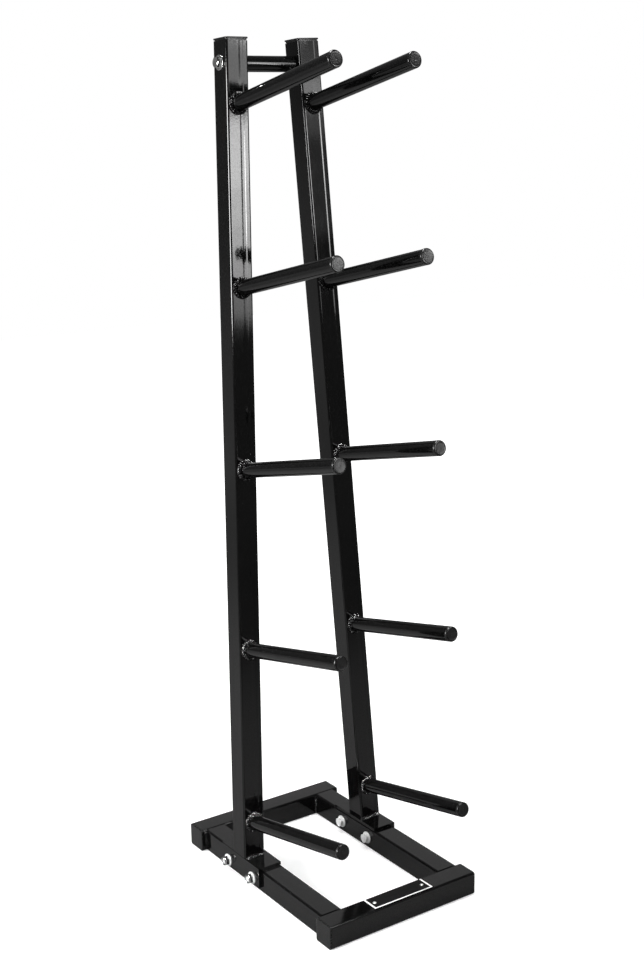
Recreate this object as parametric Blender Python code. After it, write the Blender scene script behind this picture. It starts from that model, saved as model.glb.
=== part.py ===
"""Medicine ball rack. A floor frame of box tube carries two uprights, which lean back and towards
each other, and five pairs of round pegs, each of which holds a ball. Metres, +Z up, pegs to -Y."""

import math

import bmesh
import bpy

# Gap between pieces that touch, and play of a bolt in its hole
GAP = 0.0003
HOLE_PLAY = 0.0005

# Box tube of the floor frame and the uprights
TUBE_SIZE = 0.0508
TUBE_WALL = 0.003
TUBE_CORNER = 0.0048

# Floor frame: two cross members, and two side rails between them
FRAME_WIDTH = 0.3766
FRAME_DEPTH = 0.5571
RAIL_INSET = 0.0121

# Angle brackets that join the uprights to the side rails
BRACKET_PLATE = 0.006
BRACKET_LENGTH = 0.152
BRACKET_ABOVE_FLOOR = 0.012
BRACKET_Y = 0.0716
BRACKET_EDGE_ROUND = 0.0012

# Uprights: their feet stand a little behind the middle of the brackets
UPRIGHT_BEHIND_MIDDLE = 0.0042
UPRIGHT_ABOVE_LAST_PEG = 0.1202
LEAN_BACK = math.radians(3.18)

# Pegs: heights are measured up the slope of the uprights, from their feet
PEG_DIAMETER = 0.03175
PEG_WALL = 0.002
PEG_LENGTH = 0.3414
PEG_UPWARD_TILT = math.radians(9.0)
LOWEST_PEG_HEIGHT = 0.0761
PEG_SPACINGS = (0.3865, 0.3845, 0.3717, 0.3587)
WELD_FILLET = 0.006

# Crossbar near the top, and the threaded inserts in its ends
CROSSBAR_LENGTH = 0.1205
CROSSBAR_DIAMETER = 0.03175
CROSSBAR_WALL = 0.002
CROSSBAR_BELOW_TOP = 0.0429
INSERT_LENGTH = 0.03

# Plastic end plugs
PLUG_DEPTH = 0.016
FLOOR_PLUG_FLANGE = 0.003
TOP_PLUG_FLANGE = 0.0035
TOP_PLUG_STANDOFF = 0.003
TOP_PLUG_OVERHANG = 0.0006
PEG_PLUG_FLANGE = 0.006
PEG_PLUG_EDGE = 0.003
PLUG_EDGE = 0.001

# Half-inch bolts, with their nuts and washers
BOLT_DIAMETER = 0.0127
BOLT_FROM_BRACKET_END = 0.0271
BOLT_PAST_NUT = 0.0015
BOLT_SHORT_OF_INSERT = 0.006
BOLT_CHAMFER = 0.001
HEX_ACROSS_FLATS = 0.01905
HEX_FACE_INSET = 0.0003
HEAD_HEIGHT = 0.0082
NUT_HEIGHT = 0.0111
WASHER_DIAMETER = 0.027
CROSSBAR_WASHER_DIAMETER = 0.03
WASHER_THICKNESS = 0.0024
HOLE_PIN_PAST_HOLE = 0.02

# Facets
CORNER_STEPS = 4
ROUND_STEPS = 24
EDGE_STEPS = 2

# Sizes that follow from those above
SIDES = {"left": -1, "right": +1}
TUBE_BORE = TUBE_SIZE - 2 * TUBE_WALL
TUBE_BORE_CORNER = max(TUBE_CORNER - TUBE_WALL, 2 * GAP)
RAIL_X = FRAME_WIDTH / 2 - RAIL_INSET - TUBE_SIZE / 2
BRACKET_TOP = GAP + BRACKET_PLATE
BRACKET_BOTTOM = BRACKET_ABOVE_FLOOR - TUBE_SIZE
BRACKET_ROOT = TUBE_CORNER + GAP
BOLT_SPACING = BRACKET_LENGTH - 2 * BOLT_FROM_BRACKET_END
UPRIGHT_FOOT = (RAIL_X + BRACKET_TOP, BRACKET_Y + UPRIGHT_BEHIND_MIDDLE, TUBE_SIZE + BRACKET_TOP + GAP)
TOP_HEIGHT = LOWEST_PEG_HEIGHT + sum(PEG_SPACINGS) + UPRIGHT_ABOVE_LAST_PEG
CROSSBAR_HEIGHT = TOP_HEIGHT - CROSSBAR_BELOW_TOP

# The uprights lean in by the angle that brings their inner faces to the ends of the crossbar
LEAN_IN_X = UPRIGHT_FOOT[0] - CROSSBAR_LENGTH / 2
LEAN_IN = math.acos((TUBE_SIZE / 2 + GAP) / math.hypot(LEAN_IN_X, CROSSBAR_HEIGHT)) - math.atan2(
    CROSSBAR_HEIGHT, LEAN_IN_X
)
UPRIGHT_LENGTH = TOP_HEIGHT / math.cos(LEAN_IN)


def clear_scene():
    for obj in list(bpy.data.objects):
        bpy.data.objects.remove(obj, do_unlink=True)


def add_collection(name):
    collection = bpy.data.collections.new(name)
    bpy.context.scene.collection.children.link(collection)
    return collection


def make_material(name, colour, roughness, metallic):
    material = bpy.data.materials.new(name)
    material.use_nodes = True
    shader = material.node_tree.nodes["Principled BSDF"]
    shader.inputs["Base Color"].default_value = (*colour, 1)
    shader.inputs["Roughness"].default_value = roughness
    shader.inputs["Metallic"].default_value = metallic
    return material


def circle(radius):
    angles = [2 * math.pi * i / ROUND_STEPS for i in range(ROUND_STEPS)]
    return [(radius * math.cos(a), radius * math.sin(a)) for a in angles]


def hexagon(across_flats):
    """A hexagon with as many points as circle(), so that the two can be lofted to each other."""
    points = []
    for x, y in circle(1):
        off_flat = math.remainder(math.atan2(y, x) - math.pi / 6, math.pi / 3)
        reach = across_flats / 2 / math.cos(off_flat)
        points.append((reach * x, reach * y))
    return points


def arc(centre_x, centre_y, radius, quarter=0):
    """A quarter circle, which starts quarter * 90 degrees round from +X."""
    angles = [math.pi / 2 * (quarter + step / CORNER_STEPS) for step in range(CORNER_STEPS + 1)]
    return [(centre_x + radius * math.cos(a), centre_y + radius * math.sin(a)) for a in angles]


def rounded_square(size, corner):
    middle = size / 2 - corner
    signs = ((1, 1), (-1, 1), (-1, -1), (1, -1))
    points = []
    for quarter, (sign_x, sign_y) in enumerate(signs):
        points += arc(sign_x * middle, sign_y * middle, corner, quarter)
    return points


def ring(outline, height, slope_x=0.0, slope_y=0.0):
    """The outline lifted onto the plane z = height + slope_x * x + slope_y * y."""
    return [(x, y, height + slope_x * x + slope_y * y) for x, y in outline]


def rounded_rim(outline_at, height, edge):
    """Rings of an outline whose outer edge is rounded off up to the height."""
    rings = []
    for step in range(EDGE_STEPS + 1):
        angle = math.pi / 2 * step / EDGE_STEPS
        inset = edge * (1 - math.cos(angle))
        rings.append(ring(outline_at(inset), height - edge + edge * math.sin(angle)))
    return rings


def loft(name, rings, material=None, hollow=False):
    """A mesh through the rings. A hollow one runs back to its first ring, the others get two caps."""
    bm = bmesh.new()
    loops = [[bm.verts.new(point) for point in points] for points in rings]
    pairs = list(zip(loops, loops[1:]))
    if hollow:
        pairs.append((loops[-1], loops[0]))
    for near, far in pairs:
        count = len(near)
        for i in range(count):
            after = (i + 1) % count
            bm.faces.new((near[i], near[after], far[after], far[i]))
    if not hollow:
        bm.faces.new(loops[0])
        bm.faces.new(loops[-1])
    bmesh.ops.recalc_face_normals(bm, faces=bm.faces)
    mesh = bpy.data.meshes.new(name)
    bm.to_mesh(mesh)
    bm.free()
    if material:
        mesh.materials.append(material)
    mesh.shade_smooth()
    mesh.set_sharp_from_angle(angle=math.radians(35))
    return mesh


def place(name, data, collection, location, rotation=(0, 0, 0), parent=None):
    obj = bpy.data.objects.new(name, data)
    obj.location = location
    obj.rotation_euler = rotation
    obj.parent = parent
    collection.objects.link(obj)
    return obj


def tube_mesh(name, outer, inner, near, far, material):
    """A tube between two end planes, each given as (height, slope_x, slope_y)."""
    rings = [ring(outer, *near), ring(outer, *far), ring(inner, *far), ring(inner, *near)]
    return loft(name, rings, material, hollow=True)


def box_tube_mesh(name, near, far, material):
    outer = rounded_square(TUBE_SIZE, TUBE_CORNER)
    inner = rounded_square(TUBE_BORE, TUBE_BORE_CORNER)
    return tube_mesh(name, outer, inner, near, far, material)


def box_plug_mesh(name, standoff, flange, overhang, material):
    """A plug for the box tube. The tube ends at z = 0 and the plug's flange points to +Z."""

    def body(inset):
        return rounded_square(TUBE_BORE - 2 * GAP - 2 * inset, TUBE_BORE_CORNER - GAP)

    def cap(inset):
        return rounded_square(TUBE_SIZE + 2 * overhang - 2 * inset, TUBE_CORNER + overhang - inset)

    rings = [ring(body(PLUG_EDGE), -PLUG_DEPTH), ring(body(0), -PLUG_DEPTH + PLUG_EDGE)]
    rings += [ring(body(0), standoff), ring(cap(0), standoff)]
    rings += rounded_rim(cap, standoff + flange, PLUG_EDGE)
    return loft(name, rings, material)


def hole_cutter(name, collection, play, length, face):
    """A long pin about the axis of a bolt, for the hole that the bolt passes through."""
    outline = circle(BOLT_DIAMETER / 2 + play)
    mesh = loft(name, [ring(outline, -length), ring(outline, length)])
    obj = place(name, mesh, collection, (0, 0, 0), parent=face)
    obj.hide_render = True
    obj.display_type = "WIRE"
    return obj


def cut(obj, tool):
    modifier = obj.modifiers.new(f"cut {tool.name}", "BOOLEAN")
    modifier.operation = "DIFFERENCE"
    modifier.solver = "EXACT"
    modifier.object = tool


def peg_mesh(material):
    """A peg along +Z. Its root is cut to the upright's face and flared by the fillet of its weld."""
    slope = math.tan(PEG_UPWARD_TILT)
    start = GAP / math.cos(PEG_UPWARD_TILT)
    rings = []
    for step in range(EDGE_STEPS + 1):
        angle = math.pi / 2 * step / EDGE_STEPS
        radius = PEG_DIAMETER / 2 + WELD_FILLET * (1 - math.sin(angle))
        rise = WELD_FILLET * (1 - math.cos(angle))
        rings.append(ring(circle(radius), start + rise, 0, slope))
    end = PEG_LENGTH - PEG_PLUG_FLANGE - GAP
    bore = circle(PEG_DIAMETER / 2 - PEG_WALL)
    rings += [ring(circle(PEG_DIAMETER / 2), end), ring(bore, end), ring(bore, start, 0, slope)]
    return loft("peg", rings, material, hollow=True)


def peg_plug_mesh(material):
    """A plug for a peg, which ends at z = 0."""
    body = PEG_DIAMETER / 2 - PEG_WALL - GAP

    def cap(inset):
        return circle(PEG_DIAMETER / 2 - inset)

    rings = [ring(circle(body - PLUG_EDGE), -PLUG_DEPTH), ring(circle(body), -PLUG_DEPTH + PLUG_EDGE)]
    rings += [ring(circle(body), GAP), ring(cap(0), GAP)]
    rings += rounded_rim(cap, GAP + PEG_PLUG_FLANGE, PEG_PLUG_EDGE)
    return loft("peg_plug", rings, material)


def chamfered_hexagon(height, facing):
    """The hexagon near one end of a head or nut, its corners cut at 30 degrees. facing is +1 or -1."""
    flats = HEX_ACROSS_FLATS / 2
    points = []
    for x, y in hexagon(HEX_ACROSS_FLATS):
        drop = (math.hypot(x, y) - flats) * math.tan(math.radians(30))
        points.append((x, y, height - facing * drop))
    return points


def bolt_mesh(name, reach, material):
    """A hex bolt whose head sits on z = 0 and whose shank reaches down to z = -reach."""
    radius = BOLT_DIAMETER / 2
    rings = [
        ring(circle(radius - BOLT_CHAMFER), -reach),
        ring(circle(radius), -reach + BOLT_CHAMFER),
        ring(circle(radius), 0),
        ring(hexagon(HEX_ACROSS_FLATS), 0),
        chamfered_hexagon(HEAD_HEIGHT, +1),
        ring(circle(HEX_ACROSS_FLATS / 2 - HEX_FACE_INSET), HEAD_HEIGHT),
    ]
    return loft(name, rings, material)


def nut_mesh(material):
    """A hex nut from z = -NUT_HEIGHT to z = 0."""
    bore = circle(BOLT_DIAMETER / 2 + GAP)
    face = circle(HEX_ACROSS_FLATS / 2 - HEX_FACE_INSET)
    rings = [
        ring(face, -NUT_HEIGHT),
        chamfered_hexagon(-NUT_HEIGHT, -1),
        chamfered_hexagon(0, +1),
        ring(face, 0),
        ring(bore, 0),
        ring(bore, -NUT_HEIGHT),
    ]
    return loft("hex_nut", rings, material, hollow=True)


def washer_mesh(name, diameter, material):
    """A flat washer that lies on z = 0."""
    bore = circle(BOLT_DIAMETER / 2 + HOLE_PLAY)
    return tube_mesh(name, circle(diameter / 2), bore, (0,), (WASHER_THICKNESS,), material)


def bracket_outline(side):
    """Section of a bracket about the middle of the rail's top, with its leg on the rail's outer face."""
    inner_edge = -TUBE_SIZE / 2
    leg_in = TUBE_SIZE / 2 + GAP
    leg_out = leg_in + BRACKET_PLATE
    outline = [(inner_edge, GAP)]
    outline += arc(leg_in - BRACKET_ROOT, GAP - BRACKET_ROOT, BRACKET_ROOT)[::-1]
    outline += [(leg_in, BRACKET_BOTTOM), (leg_out, BRACKET_BOTTOM)]
    outline += arc(leg_out - BRACKET_EDGE_ROUND, BRACKET_TOP - BRACKET_EDGE_ROUND, BRACKET_EDGE_ROUND)
    outline.append((inner_edge, BRACKET_TOP))
    return [(side * x, z) for x, z in outline]


def build_floor_frame(rack, paint, plastic):
    """The cross members with their plugs, and the side rails. Returns the rails by hand."""
    end = FRAME_WIDTH / 2 - FLOOR_PLUG_FLANGE - GAP
    member = box_tube_mesh("cross_member", (-end,), (end,), paint)
    plug = box_plug_mesh("cross_member_plug", GAP, FLOOR_PLUG_FLANGE, 0, plastic)
    for where, facing in {"front": -1, "rear": +1}.items():
        y = facing * (FRAME_DEPTH - TUBE_SIZE) / 2
        place(f"{where}_cross_member", member, rack, (0, y, TUBE_SIZE / 2), (0, math.pi / 2, 0))
        for hand, side in SIDES.items():
            spot = (side * end, y, TUBE_SIZE / 2)
            place(f"{where}_{hand}_end_plug", plug, rack, spot, (0, side * math.pi / 2, 0))
    half = FRAME_DEPTH / 2 - TUBE_SIZE - GAP
    rails = {}
    for hand, side in SIDES.items():
        mesh = box_tube_mesh(f"{hand}_side_rail", (-half,), (half,), paint)
        spot = (side * RAIL_X, 0, TUBE_SIZE / 2)
        rails[hand] = place(f"{hand}_side_rail", mesh, rack, spot, (math.pi / 2, 0, 0))
    return rails


def build_brackets(rack, rails, paint):
    """The angle brackets on the side rails. Returns them by hand."""
    brackets = {}
    for hand, side in SIDES.items():
        rings = [ring(bracket_outline(side), end * BRACKET_LENGTH / 2) for end in (-1, 1)]
        mesh = loft(f"{hand}_bracket", rings, paint)
        spot = (side * RAIL_X, BRACKET_Y, TUBE_SIZE)
        brackets[hand] = place(f"{hand}_bracket", mesh, rack, spot, (math.pi / 2, 0, 0))
    return brackets


def build_bracket_bolts(rack, tools, rails, brackets, zinc):
    """Two bolts through each rail and its bracket, their heads inside the frame and their nuts outside."""
    grip = BRACKET_PLATE + GAP + TUBE_SIZE
    inner_washer_z = -grip - GAP - WASHER_THICKNESS
    head_z = inner_washer_z - GAP
    nut_z = 2 * GAP + WASHER_THICKNESS + NUT_HEIGHT
    bolt = bolt_mesh("bracket_bolt", nut_z + BOLT_PAST_NUT - head_z, zinc)
    nut = nut_mesh(zinc)
    washer = washer_mesh("bracket_washer", WASHER_DIAMETER, zinc)
    for hand, side in SIDES.items():
        face_x = side * (RAIL_X + TUBE_SIZE / 2 + BRACKET_TOP)
        for where, facing in {"front": -1, "rear": +1}.items():
            name = f"{hand}_{where}"
            spot = (face_x, BRACKET_Y + facing * BOLT_SPACING / 2, TUBE_SIZE / 2)
            face = place(f"{name}_bolt_face", None, rack, spot, (0, side * math.pi / 2, 0))
            hole = hole_cutter(f"{name}_hole", tools, HOLE_PLAY, grip + HOLE_PIN_PAST_HOLE, face)
            cut(brackets[hand], hole)
            cut(rails[hand], hole)
            place(f"{name}_bolt", bolt, rack, (0, 0, head_z), (math.pi, 0, 0), face)
            place(f"{name}_outer_washer", washer, rack, (0, 0, GAP), parent=face)
            place(f"{name}_inner_washer", washer, rack, (0, 0, inner_washer_z), parent=face)
            place(f"{name}_nut", nut, rack, (0, 0, nut_z), parent=face)


def build_uprights(rack, slope, paint, plastic):
    """The uprights with their plugs, in the sloping plane. Returns the uprights by hand."""
    plug = box_plug_mesh("upright_plug", TOP_PLUG_STANDOFF, TOP_PLUG_FLANGE, TOP_PLUG_OVERHANG, plastic)
    uprights = {}
    for hand, side in SIDES.items():
        level_foot = (0, -side * math.tan(LEAN_IN), math.tan(LEAN_BACK) / math.cos(LEAN_IN))
        mesh = box_tube_mesh(f"{hand}_upright", level_foot, (UPRIGHT_LENGTH,), paint)
        spot = (side * UPRIGHT_FOOT[0], 0, 0)
        obj = place(f"{hand}_upright", mesh, rack, spot, (0, -side * LEAN_IN, 0), slope)
        place(f"{hand}_upright_plug", plug, rack, (0, 0, UPRIGHT_LENGTH), parent=obj)
        uprights[hand] = obj
    return uprights


def build_pegs(rack, slope, paint, plastic):
    """Five pairs of pegs on the front faces of the uprights, each with its plug."""
    peg = peg_mesh(paint)
    plug = peg_plug_mesh(plastic)
    end = PEG_LENGTH - PEG_PLUG_FLANGE - GAP
    turn = (math.pi / 2 - PEG_UPWARD_TILT, 0, 0)
    for number in range(len(PEG_SPACINGS) + 1):
        height = LOWEST_PEG_HEIGHT + sum(PEG_SPACINGS[:number])
        x = UPRIGHT_FOOT[0] - height * math.tan(LEAN_IN)
        for hand, side in SIDES.items():
            name = f"{hand}_peg_{number + 1}"
            obj = place(name, peg, rack, (side * x, -TUBE_SIZE / 2, height), turn, slope)
            place(f"{name}_plug", plug, rack, (0, 0, end), parent=obj)


def build_crossbar(rack, slope, paint, zinc):
    """The bar between the uprights, with a threaded insert in each end. Returns the inserts by hand."""
    half = CROSSBAR_LENGTH / 2
    lean = math.tan(LEAN_IN)
    bore = CROSSBAR_DIAMETER / 2 - CROSSBAR_WALL
    mesh = tube_mesh(
        "crossbar", circle(CROSSBAR_DIAMETER / 2), circle(bore), (-half, -lean), (half, lean), paint
    )
    place("crossbar", mesh, rack, (0, 0, CROSSBAR_HEIGHT), (0, math.pi / 2, 0), slope)
    inserts = {}
    for hand, side in SIDES.items():
        name = f"{hand}_crossbar_insert"
        outline = circle(bore - GAP)
        mesh = loft(name, [ring(outline, half - INSERT_LENGTH), ring(outline, half, side * lean)], zinc)
        turn = (0, side * math.pi / 2, 0)
        inserts[hand] = place(name, mesh, rack, (0, 0, CROSSBAR_HEIGHT), turn, slope)
    return inserts


def build_crossbar_bolts(rack, tools, slope, uprights, inserts, zinc):
    """A bolt square through each upright into the insert at that end of the crossbar."""
    head_z = 2 * GAP + WASHER_THICKNESS
    reach = head_z + TUBE_SIZE + GAP + INSERT_LENGTH - BOLT_SHORT_OF_INSERT
    bolt = bolt_mesh("crossbar_bolt", reach, zinc)
    washer = washer_mesh("crossbar_washer", CROSSBAR_WASHER_DIAMETER, zinc)
    inner_face_x = CROSSBAR_LENGTH / 2 + GAP / math.cos(LEAN_IN)
    outer_face_x = inner_face_x + TUBE_SIZE * math.cos(LEAN_IN)
    height = CROSSBAR_HEIGHT + TUBE_SIZE * math.sin(LEAN_IN)
    for hand, side in SIDES.items():
        spot = (side * outer_face_x, 0, height)
        turn = (0, side * (math.pi / 2 - LEAN_IN), 0)
        face = place(f"{hand}_crossbar_bolt_face", None, rack, spot, turn, slope)
        hole = hole_cutter(f"{hand}_crossbar_hole", tools, HOLE_PLAY, 2 * TUBE_SIZE, face)
        cut(uprights[hand], hole)
        cut(inserts[hand], hole)
        place(f"{hand}_crossbar_bolt", bolt, rack, (0, 0, head_z), parent=face)
        place(f"{hand}_crossbar_washer", washer, rack, (0, 0, GAP), parent=face)


def main():
    clear_scene()
    rack = add_collection("medicine_ball_rack")
    tools = add_collection("hole_cutters")
    paint = make_material("gloss_black_paint", (0.012, 0.012, 0.012), 0.18, 0.0)
    plastic = make_material("black_plastic", (0.03, 0.03, 0.03), 0.45, 0.0)
    zinc = make_material("zinc_plate", (0.75, 0.75, 0.75), 0.25, 1.0)
    rails = build_floor_frame(rack, paint, plastic)
    brackets = build_brackets(rack, rails, paint)
    build_bracket_bolts(rack, tools, rails, brackets, zinc)
    slope = place("upright_slope", None, rack, (0, *UPRIGHT_FOOT[1:]), (-LEAN_BACK, 0, 0))
    uprights = build_uprights(rack, slope, paint, plastic)
    build_pegs(rack, slope, paint, plastic)
    inserts = build_crossbar(rack, slope, paint, zinc)
    build_crossbar_bolts(rack, tools, slope, uprights, inserts, zinc)


main()
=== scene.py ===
"""Looks of the medicine ball rack: gloss black paint over lumpy welds, bright zinc fasteners, black
plastic plugs and a bare name plate, in a plain white studio. Metres, in the frame's own axes."""

import math
import random
from collections import namedtuple

import bmesh
import bpy
import numpy as np
from mathutils import Matrix, Vector


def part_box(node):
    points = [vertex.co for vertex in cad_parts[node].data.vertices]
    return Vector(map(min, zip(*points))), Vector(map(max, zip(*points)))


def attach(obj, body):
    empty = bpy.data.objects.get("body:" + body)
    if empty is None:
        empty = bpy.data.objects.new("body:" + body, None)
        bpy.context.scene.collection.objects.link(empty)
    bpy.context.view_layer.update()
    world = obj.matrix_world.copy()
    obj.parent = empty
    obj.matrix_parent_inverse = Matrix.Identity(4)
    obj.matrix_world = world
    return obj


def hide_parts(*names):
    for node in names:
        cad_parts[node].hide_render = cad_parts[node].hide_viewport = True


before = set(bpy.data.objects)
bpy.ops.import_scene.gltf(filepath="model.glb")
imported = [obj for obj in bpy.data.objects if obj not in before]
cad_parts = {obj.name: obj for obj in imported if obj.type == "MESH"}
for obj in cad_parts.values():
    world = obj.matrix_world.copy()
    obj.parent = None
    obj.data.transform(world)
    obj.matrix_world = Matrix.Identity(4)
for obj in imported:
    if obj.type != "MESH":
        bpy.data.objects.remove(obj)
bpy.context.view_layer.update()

# Directions, and the pieces that repeat
UP = Vector((0, 0, 1))
RIGHT = Vector((1, 0, 0))
FRONT = Vector((0, -1, 0))
SIDES = {"left": -1, "right": 1}
ENDS = {"front": -1, "rear": 1}
PEG_ROWS = range(1, 6)

# Camera, from a fit of the rack's edges to the photograph. Angles are in degrees
PHOTO_HEIGHT = 965
FOCAL_PIXELS = 1463.8
OPTICAL_CENTRE_Y = 513
SENSOR = 36
CAMERA_PLACE = (-1.6573, -2.4097, 1.6101)
CAMERA_YAW = -34.51
CAMERA_PITCH = -15.22
CAMERA_ROLL = -0.907

# Floor as the camera sees it: its shade, and a glow that grows from near the rack to far from it
FLOOR_SIZE = 16
FLOOR_SHADE = 0.8
FLOOR_FILL = (0.36, 0.95)
FLOOR_FILL_REACH = (0.6, 3.0)

# Floor as the gloss mirrors it: grey paper whose front edge lies between two values of Y, and a glow
# that starts far off and is dimmer in front of the rack than behind it
PAPER_SHADE = 0.23
FLOOR_BEYOND_PAPER = 0.11
PAPER_FRONT = (-1.75, -1.05)
FAR_FLOOR_REACH = (2.8, 5)
FAR_FLOOR_GLOW = (0.07, 0.18)

# Room as the gloss mirrors it, by the parts of a direction: Y behind the rack, Z at the lit floor
# there, and the nearness to a lit patch
ROOM_GLOW = 0.1
BACK_TURN = (-0.1, 0.5)
BACK_FLOOR_GLOW = 0.28
BACK_FLOOR_RISE = (-0.15, -0.03)
BACK_PATCH_GLOW = 0.42
BACK_PATCH_WAY = (0.51, 0.71, 0.48)
BACK_PATCH_EDGE = (0.955, 0.988)

# A lamp's radiance is what it shows straight ahead, and its cone is in degrees
Panel = namedtuple("Panel", "place width heights radiance")
Softbox = namedtuple("Softbox", "place target size radiance cone")

# The front softbox is brightest at its top: heights where its light grows, and by how much. Each
# step is a lamp of its own, a little behind the one before
FRONT_SOFTBOX_PLACE = (0.908, -1.992)
FRONT_SOFTBOX_SHIFT = (0.004, -0.01)
FRONT_SOFTBOX_WIDTH = 0.875
FRONT_SOFTBOX_TOP = 1.835
FRONT_SOFTBOX_STEPS = ((1.12, 3.2), (1.24, 4.8), (1.36, 2.4), (1.46, 1.9), (1.59, 2.9))

# The other panels in front of the rack, at places in X and Y
PANEL_CONE = 75
PANELS = {
    "front_strip": Panel((0.65, -1.95), 0.3, (1.42, 1.78), 20),
    "front_top_panel": Panel((0.895, -1.997), 0.85, (FRONT_SOFTBOX_TOP, 2.3), 3.9),
    "front_right_panel": Panel((1.62, -1.98), 0.6, (1.4, 2.3), 0.3),
    "front_right_top_panel": Panel((1.62, -1.97), 0.6, (1.77, 2.3), 0.6),
    "front_right_patch": Panel((1.6, -1.96), 0.5, (1.88, 1.99), 4),
    "front_corner_panel": Panel((1.4, -2.0), 0.25, (2.12, 2.45), 9),
}

# The softboxes at the corner, for the bolts' heads, on the left and overhead
SOFTBOXES = {
    "corner_softbox": Softbox((1.15, -1.8, 2.42), (0, 0, 0.1), (0.5, 0.5), 30, 40),
    "bolt_softbox": Softbox((-2.5, -0.9, 1.3), (0.1, 0, 0.03), (0.5, 0.5), 70, 24),
    "left_softbox": Softbox((-2.52, 0.435, 1.57), (0, 0, 1.57), (1.5, 0.92), 24, 180),
    "overhead_softbox": Softbox((0, 0, 6), (0, 0, 0), (1.4, 1.4), 57, 180),
}

# Gloss paint, from clean to dusty: shade and shine. Then its roughness, and sizes of its marks
PAINT_SHADE = (0.0008, 0.018)
PAINT_SHINE = (0.6, 0.4)
PAINT_ROUGHNESS = (0.04, 0.09)
SPECK_SIZE = 0.0022
SMUDGE_SIZE = 0.05
DUST_RANGE = (0.5, 0.8)

# Relief of the materials: size of the lumps, across and along a tube where there are three, and depth
WAVES = ((0.026, 0.026, 0.25), 0.00015)
DRAW_LINES = ((0.008, 0.008, 0.8), 0.00005)
ORANGE_PEEL = (0.0034, 0.00003)
WELD_LUMPS = (0.0025, 0.0006)
WELD_PITS = (0.0008, 0.0001)
SINK_MARKS = (0.007, 0.0001)
ZINC_GRAIN = (0.0005, 0.00001)

# The shallow channel along an upright where its seam was rolled flat: X at the foot and at the top
# of its two sides, and its depth
SEAM_SIDES = (0.0075, 0.0005), (0.0108, 0.0136)
SEAM_DEPTH = 0.0002

# Paint over weld metal: soot from clean to dark, smudges from the least roughness, patches that are
# dull below a range of their noise and shiny above it, and two kinds by the shine of these patches
WELD_SHADE = (0.001, 0.004)
SOOT_SIZE = 0.003
WELD_SMOOTHEST = 0.03
WELD_SMUDGE_SIZE = 0.008
WELD_PATCH_SIZE = 0.0045
WELD_PATCH_RANGE = (0.45, 0.6)
DULL_WELD = {"shine": (0.1, 0.5), "roughest": 0.16}
SHINY_WELD = {"shine": (0.12, 2.0), "roughest": 0.1}

# Plastic of the plugs' sides and rims, and of their faces. The grain is the depth of a fine one,
# and a coarse one is deeper by a factor. Scuffs change the roughness
PLUG_RIM = {"shade": 0.006, "roughness": 0.27, "grain": 0.00002}
PLUG_FACE = {"shade": 0.009, "roughness": 0.33, "grain": 0.00006}
FINE_GRAIN_SIZE = 0.0007
COARSE_GRAIN_SIZE = 0.0022
COARSE_GRAIN_FACTOR = 5
SCUFF_SIZE = 0.004
SCUFF_CHANGE = 0.06

# Zinc plate: its clouds' size, depth, shades and change of roughness, and kinds by roughness and by
# likeness to metal
CLOUD_SIZE = 0.004
CLOUD_DEPTH = 0.00005
CLOUD_SHADE = (0.84, 0.97)
CLOUD_CHANGE = 0.05
BRIGHT_ZINC = {"roughness": 0.17, "metal": 1.0}
# Duller zinc that mirrors less and is mostly diffuse: its near-white shades are a painted reflection of
# the bright floor on the base bolts' heads and washers
DULL_PAINTED_LIGHT_ZINC = {"roughness": 0.12, "metal": 0.25}
SATIN_ZINC = {"roughness": 0.4, "metal": 1.0}

# Print on the name plate, and its mottle's size, depth and change of roughness
PLATE_BLACK = {"shade": 0.004, "roughness": 0.5, "shine": 0.2}
PLATE_WHITE = {"shade": 0.95, "roughness": 0.45, "shine": 0.5}
MOTTLE_SIZE = 0.0015
MOTTLE_DEPTH = 0.00002
MOTTLE_CHANGE = 0.05

# Shading: edges that turn by more than an angle in degrees stay sharp, on new pieces and CAD nodes.
# The CAD nodes' doubled points are merged, and their largest faces have the most say in the normals
SHARP_ANGLE = 28
CAD_SHARP_ANGLE = 38
MERGE_DISTANCE = 0.00001
FACE_WEIGHT = 100

# Measures of a CAD node: cosine between ways that count as one, how near two measures count as one,
# and how far the end of a plug's body reaches
SAME_WAY = 0.9
NEAR = 0.0002
BODY_END = 0.0015

# Weld beads: leg, section from 1 for round to 2 for flat, and how far their scales are domed
Weld = namedtuple("Weld", "leg flat domes")
PEG_WELD = Weld(leg=0.0067, flat=1.1, domes=(0.12, 0.32))
FOOT_WELD = Weld(leg=0.0058, flat=1.7, domes=(0.05, 0.13))
FRAME_WELD = Weld(leg=0.0042, flat=1.3, domes=(0.05, 0.13))
SHINY_WELD_ROWS = 3

# Scales of a bead: length and lean of one, range of their sizes, and roughness of their faces
RIPPLE_LENGTH = 0.0046
RIPPLE_LEAN = 0.45
RIPPLE_SIZES = (0.88, 1.12)
RIPPLE_NOISE = 0.008
FEWEST_RIPPLES = 3

# A bead's section: steps over its face, how deep its back is sunk, and the back's share of the leg
BEAD_STEPS = 11
BEAD_SUNK = 0.001
BEAD_BACK = 0.7

# Open ends of a bead: its size there, and how fast it grows along the bead
BEAD_END = 0.45
BEAD_END_GROWTH = 6

# Spots along a bead, and where the straight beads end
PEG_WELD_SPOTS = 216
SPOT_SPACING = 0.0006
FOOT_WELD_PAST_EDGE = 0.002
FRAME_WELD_FROM_BOTTOM = 0.006
FRAME_WELD_FROM_TOP = 0.004

# Spatter round a peg's weld: spread, sizes, half the width it may lie in, and profile of a drop
SPATTER_PER_WELD = 9
SPATTER_SPREAD = 0.006
SPATTER_SIZES = (0.0003, 0.0008)
SPATTER_HALF_WIDTH = 0.019
SPATTER_PROFILE = ((1.0, -0.3), (1.05, 0.15), (0.8, 0.5), (0.42, 0.68), (0.12, 0.72))
SPATTER_STEPS = 10

# First seeds of the spatter and of the straight beads
SPATTER_SEED = 1000
FOOT_SEED = 300
FRAME_SEED = 400

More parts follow.
